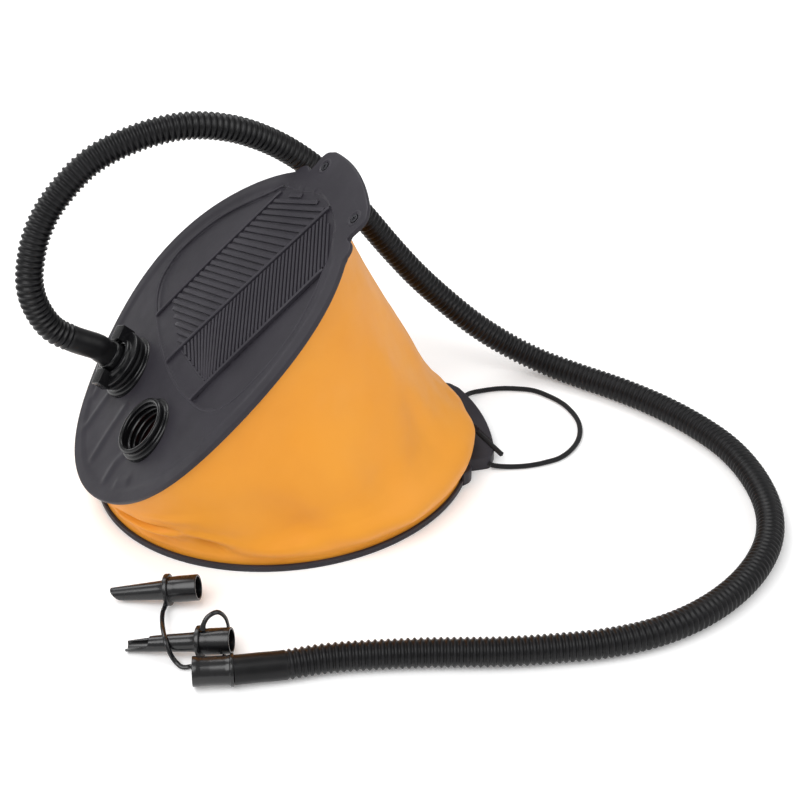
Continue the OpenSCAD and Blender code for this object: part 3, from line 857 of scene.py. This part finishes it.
def top_plate_part():
    """The crowned upper plate: relief on its face, a rolled lip, a rim and a hollow underside."""
    angle = np.arange(PLATE_SIDES) * 2 * math.pi / PLATE_SIDES
    edge = oval_radius(angle, A, TOP_B)
    out = np.maximum(edge, softly(outline_radius(angle, TOP_B), 1.3))
    rim_bottom = -RIM_H + smooth((out - edge - 0.5) / 2)
    inward = np.linspace(0.012, 1, PLATE_RINGS)

    def ring(r, z, lifted=True):
        x = r * np.cos(angle)
        return np.stack([x, r * np.sin(angle), z + (bow(x) if lifted else 0)], 1)

    face_radii = [edge * f for f in inward]
    face_radii += [edge + (out - edge) * k / EAR_RINGS for k in range(1, EAR_RINGS + 1)]
    rows = []
    for r in face_radii:
        r = np.minimum(r, out - 1.5)
        rows.append(ring(r, relief(r * np.cos(angle), r * np.sin(angle)), lifted=False))
    border_height = rows[-1][:, 2]
    for inset, drop in ((-1.0, 0.02), (-0.45, 0.22), (-0.1, 0.75), (0, 1.4)):
        rows.append(ring(out + inset, border_height - drop, lifted=False))
    for inset, rise in ((0, 0.8), (-0.25, 0.25), (-0.8, 0)):
        rows.append(ring(out + inset, rim_bottom + rise))
    inner = edge - WALL
    rows.append(ring(inner, rim_bottom))
    rows.append(ring(inner, PANEL_UNDER))
    rows += [ring(np.minimum(edge * f, inner - 0.3), PANEL_UNDER) for f in inward[::-1]]

    faces = grid_faces(len(rows), PLATE_SIDES)
    top_middle = relief(np.array([0.0]), np.array([0.0]))[0]
    verts = np.vstack(rows + [[[0, 0, top_middle], [0, 0, PANEL_UNDER + float(bow(0))]]])
    last = (len(rows) - 1) * PLATE_SIDES
    for k in range(PLATE_SIDES):
        m = (k + 1) % PLATE_SIDES
        faces.append((len(verts) - 2, m, k))
        faces.append((len(verts) - 1, last + k, last + m))
    # Openings for the two ports and the two screws, closed by the pieces that stand in them
    holes = [(PORT_X, s * PORT_Y, PORT_HOLE_R) for s in (-1, 1)]
    holes += [(EAR_SCREW[0], s * EAR_SCREW[1], SCREW_HOLE_R) for s in (-1, 1)]
    middle = np.array([verts[list(f)].mean(0) for f in faces])
    keep = np.ones(len(faces), bool)
    for x, y, r in holes:
        keep &= np.hypot(middle[:, 0] - x, middle[:, 1] - y) >= r
    return verts, [f for f, k in zip(faces, keep) if k]


def on_top(part):
    """Moves a part from the outer plane of the closed top plate to the open plate."""
    verts, faces = part
    return turned(np.asarray(verts, float) + (0, 0, STACK)), faces


def screw_well(side):
    """The sunk seat of an ear screw."""
    profile = softened([(3.5, -1.7), (3.5, -0.25), (5.0, 0.25), (6.6, 0.0), (6.9, -0.8), (6.9, -2.4),
                        (2.0, -2.4), (2.0, -1.9)], 0.3)
    verts, faces = lathed(profile, 40)
    return verts + (EAR_SCREW[0], side * EAR_SCREW[1], 0), faces


def spring_boss():
    """The boss under the crowned panel that carries the spring's seat."""
    boss = lathed(softened([(3, -3.0), (24, -3.0), (24, 4.0), (3, 4.0)], 0.4), 48)
    return boss[0] + (SPRING_X, 0, 0), boss[1]


def clamp_ring():
    """The ring that holds the fabric's upper hem, crowned like the plate."""
    sides = 240
    angle = np.arange(sides) * 2 * math.pi / sides
    inset = WALL + SKIN + 0.4 + TOP_INSET
    rows = []
    for wide, z in ((0, -8), (0, -3.9), (-4, -3.9), (-4, -8)):
        x = (A - inset + wide) * np.cos(angle) - TOP_INSET
        rows.append(np.stack([x, (B - inset + wide) * np.sin(angle), z + bow(x)], 1))
    return np.vstack(rows), grid_faces(4, sides, closed_rows=True)


top_parts = [top_plate_part(), *tread_parts(), screw_well(-1), screw_well(1), spring_boss()]
top_plate = piece("top_plate", on_top(merged(*top_parts)), "plate_black", "top", sharp=32, weld=0.03)
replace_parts(top_plate, "top_plate", "ear_backing")
top_ring = piece("top_clamp_ring", on_top(clamp_ring()), "plate_black", "top")
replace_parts(top_ring, "top_clamp_ring")


# ---- the base plate ----

def base_rim():
    """The base: an oval tray with a rolled rim."""
    count = 300
    angle = np.arange(count) * 2 * math.pi / count
    edge = oval_radius(angle)
    rows = []
    outside = [(-0.9, 0), (-0.25, 0.2), (0, 0.9), (0, 2.3), (-0.3, 2.6), (0, 2.9), (0, 4.2), (-0.25, 4.75)]
    inside_wall = [(-0.9, BASE_RIM_H), (-1.9, BASE_RIM_H), (-WALL, 4.6), (-WALL, 3)]
    for inset, z in outside + inside_wall:
        r = edge + inset
        rows.append(np.stack([r * np.cos(angle), r * np.sin(angle), z + 0 * r], 1))
    for f in (0.8, 0.5, 0.2):
        r = edge * f
        rows.append(np.stack([r * np.cos(angle), r * np.sin(angle), 3 + 0 * r], 1))
    verts = np.vstack(rows)
    faces = grid_faces(len(rows), count)
    last = (len(rows) - 1) * count
    verts = np.vstack([verts, [[0, 0, 3], [0, 0, 0]]])
    for k in range(count):
        m = (k + 1) % count
        faces.append((len(verts) - 2, last + m, last + k))
        faces.append((len(verts) - 1, k, m))
    return verts, faces


def base_ear():
    """The ear beside the oval, with the groove that grips the rope's cut end."""
    reach = math.radians(33)
    angle = np.linspace(-reach, reach, 260)
    edge = oval_radius(angle)
    out = outline_radius(angle)
    blur = [0.05, 0.1, 0.12, 0.15, 0.16, 0.15, 0.12, 0.1, 0.05]
    out = np.convolve(np.pad(out, 4, mode="edge"), blur, "valid")
    keep = out > edge + 0.4
    angle, edge, out = angle[keep], edge[keep], out[keep]
    rows = []
    groove_a, groove_b = np.array([144, -10.0]), np.array([156.5, -60.0])
    across = np.linspace(0, 1, 16)
    for t, e, r in zip(angle, edge, out):
        direction = np.array([math.cos(t), math.sin(t)])
        low, high = e - 0.8, r
        section = [(low, 0.1), (high - 0.8, 0.0), (high - 0.2, 0.2), (high, 0.9), (high, 9.3),
                   (high - 0.3, 10.3)]
        top = [(high - 1.0 - (high - 1.0 - low) * f, 11.0) for f in across]
        rows.append([(*(direction * d), z) for d, z in section + top])
    rows = np.array(rows)
    flat = rows.reshape(-1, 3)
    off = to_polyline(flat[:, :2], np.array([groove_a, groove_b]))
    sunk = np.sqrt(np.maximum(0, 2.5 ** 2 - off ** 2))
    up = flat[:, 2] > 9
    flat[up, 2] = np.minimum(flat[up, 2], 11.0 - 1.1 * sunk[up])
    m = rows.shape[1]
    faces = grid_faces(len(rows), m)
    faces.append(tuple(range(m - 1, -1, -1)))
    faces.append(tuple((len(rows) - 1) * m + k for k in range(m)))
    return flat, faces


base_plate = piece("base_plate", merged(base_rim(), base_ear()), "plate_black", "base", sharp=32, weld=0.03)
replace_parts(base_plate, "base_plate")


# ---- the fabric ----

LOW_Z, HIGH_Z = 8.2, 43.4
HEM = 5.0
# How far the fabric hangs out at the near right, by its share of the way up
BULGE_AT = (0, 0.02, 0.05, 0.08, 0.11, 0.14, 0.18, 0.24, 0.3, 0.42, 0.55, 0.75, 0.9, 1)
BULGE = (0, 3, 9, 13, 14, 11, 4, -2, -4, -4, -4, -4, -2.5, 0)


def skin(c, s, d):
    """A point on the free fabric: round the plate by angle c, up it by share s, and out by d."""
    level = 0 * c + 0 * s
    x, y = (A - WALL - 0.2 + d) * np.cos(c), (B - WALL - 0.2 + d) * np.sin(c)
    low = np.stack([x, y, LOW_Z + level], -1)
    high = np.stack([x - TOP_INSET * (1 + np.cos(c)), y - TOP_INSET * np.sin(c), HIGH_Z + level], -1)
    s3 = s[..., None]
    line = low * (1 - s3) + turned(high) * s3
    fan = turned(low * (1 - s3) + high * s3, OPEN * s)
    ear = ((1 + np.cos(c)) / 2)[..., None] ** 2
    slack = np.interp(s, BULGE_AT, BULGE) * ((1 + np.cos(c + math.radians(32))) / 2) ** 4
    body = line + (fan - line) * 0.3 * (1 - s3 ** 3) * (1 - ear)
    body += slack[..., None] * np.stack([np.cos(c), np.sin(c), 0 * c], -1)
    return body + (bow(high[..., 0]) * s ** 2)[..., None] * OUT


# Creases and folds: (angle and height at one end, the same at the other, half width in mm, height in mm)
CREASES = [
    (205, 0.62, 231, 0.42, 2.4, -3.4), (207, 0.52, 233, 0.3, 5, 4.6), (231, 0.42, 247, 0.2, 4.0, 3.2),
    (212, 0.22, 240, 0.14, 7, -1.6), (231, 0.3, 244, 0.1, 3.0, -2.4), (222, 0.7, 240, 0.55, 4, 1.8),
    (245, 0.16, 268, 0.1, 7, 2.6), (197, 0.3, 188, 0.75, 7, 2.0), (212, 0.62, 240, 0.42, 9, 2.2),
    (268, 0.33, 270, 0.04, 13, -3.2), (284, 0.1, 292, 0.5, 16, 3.4), (250, 0.3, 256, 0.85, 14, 2.4),
    (275, 0.62, 290, 0.9, 13, -2.0), (299, 0.72, 310, 0.52, 12, -3.0), (300, 0.1, 314, 0.4, 14, 3.0),
    (322, 0.1, 330, 0.5, 13, -2.6), (335, 0.2, 326, 0.62, 13, 2.2), (348, 0.12, 350, 0.5, 14, 2.0),
    (150, 0.1, 118, 0.3, 10, 3.4), (128, 0.2, 100, 0.55, 12, -2.6), (60, 0.12, 28, 0.35, 11, 3.0),
    (80, 0.3, 65, 0.8, 12, 2.0), (170, 0.3, 160, 0.7, 8, 2.2), (12, 0.15, 8, 0.5, 12, 2.4),
    (180, 0.15, 176, 0.8, 9, -2.0)]


def cloth(c, s, d):
    """The free fabric with its bulge and creases, and its hems held straight in the clamps."""
    body = skin(c, np.clip(s, 0, 1), d)
    n = np.stack([np.cos(c) / A, np.sin(c) / B, 0 * c], -1)
    n /= np.linalg.norm(n, axis=-1)[..., None]
    tall = 40 + 200 * (1 + np.cos(c)) / 2 * math.sin(OPEN / 2) * 1.9
    held = smooth(s / 0.1) * smooth((1 - s) / 0.1)
    lift = np.zeros_like(c)
    for c0, s0, c1, s1, width, height in CREASES:
        a0, a1 = math.radians(c0), math.radians(c1)
        middle = 0.5 * (a0 + a1)
        wrap = (c - middle + math.pi) % (2 * math.pi) - math.pi
        px, py = wrap * 130, s * tall
        ax, ay = (a0 - middle) * 130, s0 * tall
        bx, by = (a1 - middle) * 130, s1 * tall
        dx, dy = bx - ax, by - ay
        t = np.clip(((px - ax) * dx + (py - ay) * dy) / (dx * dx + dy * dy), 0, 1)
        off = np.hypot(px - ax - t * dx, py - ay - t * dy)
        fade = 0.35 + 0.65 * np.sin(np.clip(t, 0.02, 0.98) * math.pi)
        lift += height * np.exp(-(off / width) ** 2) * fade
    ripple = 1.5 * np.sin(7 * c + 3 * s) * np.sin(3.2 * s + 2 * c)
    ripple += 0.6 * np.sin(17 * c + 9 * s + 1.3 * np.sin(5 * c))
    lift += ripple * smooth((0.95 - s) / 0.5)
    body += (n * (lift * held)[..., None])
    below = np.minimum(s, 0)
    above = np.maximum(s - 1, 0)
    body[..., 2] += below * HEM
    return body + above[..., None] * HEM * OUT


CLOTH_AROUND = 400


def fabric_part():
    """The fabric's outer and inner faces, with each point's share of the hinge angle."""
    s = np.concatenate([[-1.0, -0.4], np.linspace(0, 1, 58), [1.4, 2.0]])
    c = np.arange(CLOTH_AROUND) * 2 * math.pi / CLOTH_AROUND
    cc, ss = np.meshgrid(c, s)
    outer = cloth(cc, ss, 0.0)
    inner = cloth(cc, ss, -SKIN)
    n = len(s)
    verts = np.vstack([outer.reshape(-1, 3), inner[::-1].reshape(-1, 3)])
    share = np.concatenate([np.clip(ss, 0, 1).ravel(), np.clip(ss, 0, 1)[::-1].ravel()])
    return (verts, grid_faces(2 * n, CLOTH_AROUND, closed_rows=True)), share


def blended_by_share(obj):
    """Bakes the object's placement into its points, which keep the shape they were built with."""
    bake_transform(obj)


cloth_part, cloth_share = fabric_part()
fabric = piece("bellows_fabric", cloth_part, "fabric_orange", None, sharp=89)
blended_by_share(fabric)
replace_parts(fabric, "bellows")


# ---- the return spring ----

COIL_R, WIRE_R, TURNS = 22.0, 1.25, 8


def spring_piece():
    """The return spring: a coil that fans open with the plates."""
    steps = 40 * TURNS
    share = np.linspace(0, 1, steps + 1)
    low, high = 3 + 1.2 + WIRE_R + 0.2, STACK - 3 - 1.2 - WIRE_R - 0.2
    c = share * 2 * math.pi * TURNS
    flat = np.stack([SPRING_X + COIL_R * np.cos(c), COIL_R * np.sin(c), low + (high - low) * share], 1)
    path = turned(flat, OPEN * share)
    part = swept(path, WIRE_R, 10, up=(0, 0, 1))
    obj = piece("return_spring", part, "steel", None, sharp=60)
    blended_by_share(obj)
    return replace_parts(obj, "return_spring")


spring_piece()


# ---- the ports, the nut and the hose's spigot ----

def collar_piece(name, side, threaded):
    """A port's collar: skirt, flange and lip, with the thread in the open one."""
    bore = 18.0
    profile = softened([
        (bore, -13.8), (20.7, -13.8), (20.7, -1.2), (24.2, -1.2), (24.2, 2.8, 0.9), (23.4, 3.8, 0.8),
        (21.4, 4.2, 0.5), (20.7, 5.0), (20.9, 6.0), (21.5, 6.4), (21.6, 8.4, 1.0), (20.7, 9.4, 1.0),
        (19.2, 9.4, 0.8), (bore, 8.6, 0.8)], 0.4)
    parts = [lathed(profile, 72)]
    if threaded:
        turns, pitch = 3.4, 4.4
        t = np.linspace(0, 1, 150)
        angle = t * turns * 2 * math.pi
        path = np.stack([17.9 * np.cos(angle), 17.9 * np.sin(angle), -8.5 + t * turns * pitch], 1)
        height = 1.15 * smooth(t / 0.06) * smooth((1 - t) / 0.06) + 0.05
        parts.append(swept(path, height, 8, up=(0, 0, 1), squash=(0.75, 1.0)))
    obj = piece(name, at_port(merged(*parts), side), "gloss_black", "top", sharp=40)
    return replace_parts(obj, name)


collar_piece("intake_collar", -1, True)
collar_piece("outlet_collar", 1, False)

NUT_Z = 11.5


def winged_nut():
    """The nut: a threaded disc with a hub and two blocks to turn it by."""
    angle = math.radians(41)
    neck = [(11.7, NUT_Z + 0.4), (18.6, NUT_Z), (18.6, -4), (15.5, -4), (15.5, -2), (18.2, NUT_Z - 1)]
    head = [(22.9, 0), (22.9, 3, 0.9), (20.5, 3.4, 0.5), (16.6, 3.4), (16.2, 5.5, 0.8), (13.4, 5.8, 0.8),
            (11.7, 4.6)]
    profile = neck + [(r, NUT_Z + z, *own) for r, z, *own in head]
    parts = [lathed(softened(profile, 0.35), 72)]
    for s in (-1, 1):
        parts.append(block((11.8, 10, 11), (s * 17.9, 0, NUT_Z + 5.4), 0.8, angle))
        parts.append(block((5.5, 2.2, 4.5), (s * 14.5, 5.2, NUT_Z + 4.6), 0.5, angle))
    return merged(*parts)


nut = piece("winged_nut", at_port(winged_nut(), 1), "gloss_black", "winged_nut", sharp=40)
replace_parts(nut, "winged_nut")

spigot_profile = [(7, -4), (14, -4), (14, -2), (11.1, -1.8), (11.1, 17.5), (11.1, 20.0), (10.6, 21.4),
                  (7, 21.6)]
spigot = piece("hose_spigot", at_port(lathed(softened(spigot_profile, 0.5), 56), 1), "gloss_black", "top")
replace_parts(spigot, "hose_spigot")


# ---- floor and light ----

def studio():
    """A pale floor that glows a little, even light from all round and three soft lamps."""
    floor_mesh = bpy.data.meshes.new("floor")
    far = 6.0
    corner_points = [(-far, -far, 0), (far, -far, 0), (far, far, 0), (-far, far, 0)]
    floor_mesh.from_pydata(corner_points, [], [(0, 1, 2, 3)])
    floor = link(bpy.data.objects.new("floor", floor_mesh))
    paper = bpy.data.materials.new("paper")
    paper.use_nodes = True
    shader = paper.node_tree.nodes["Principled BSDF"]
    shader.inputs["Base Color"].default_value = (0.93, 0.93, 0.93, 1)
    shader.inputs["Roughness"].default_value = 0.9
    shader.inputs["Emission Color"].default_value = (1, 1, 1, 1)
    shader.inputs["Emission Strength"].default_value = 0.16
    floor_mesh.materials.append(paper)
    world = bpy.data.worlds.new("studio")
    bpy.context.scene.world = world
    world.use_nodes = True
    world.node_tree.nodes["Background"].inputs["Color"].default_value = (1, 1, 1, 1)
    world.node_tree.nodes["Background"].inputs["Strength"].default_value = 0.5
    lamps = [("key", (-0.9, -0.7, 1.7), 1.4, 27), ("fill", (1.4, -0.9, 1.2), 1.6, 11),
             ("back", (-0.5, 1.4, 1.7), 1.2, 17)]
    for name, place, size, power in lamps:
        light = bpy.data.lights.new(name, "AREA")
        light.size = size
        light.energy = power
        look_at(link(bpy.data.objects.new(name, light)), place, (0.03, 0, 0.08))


studio()
bpy.context.scene.view_settings.view_transform = "Standard"
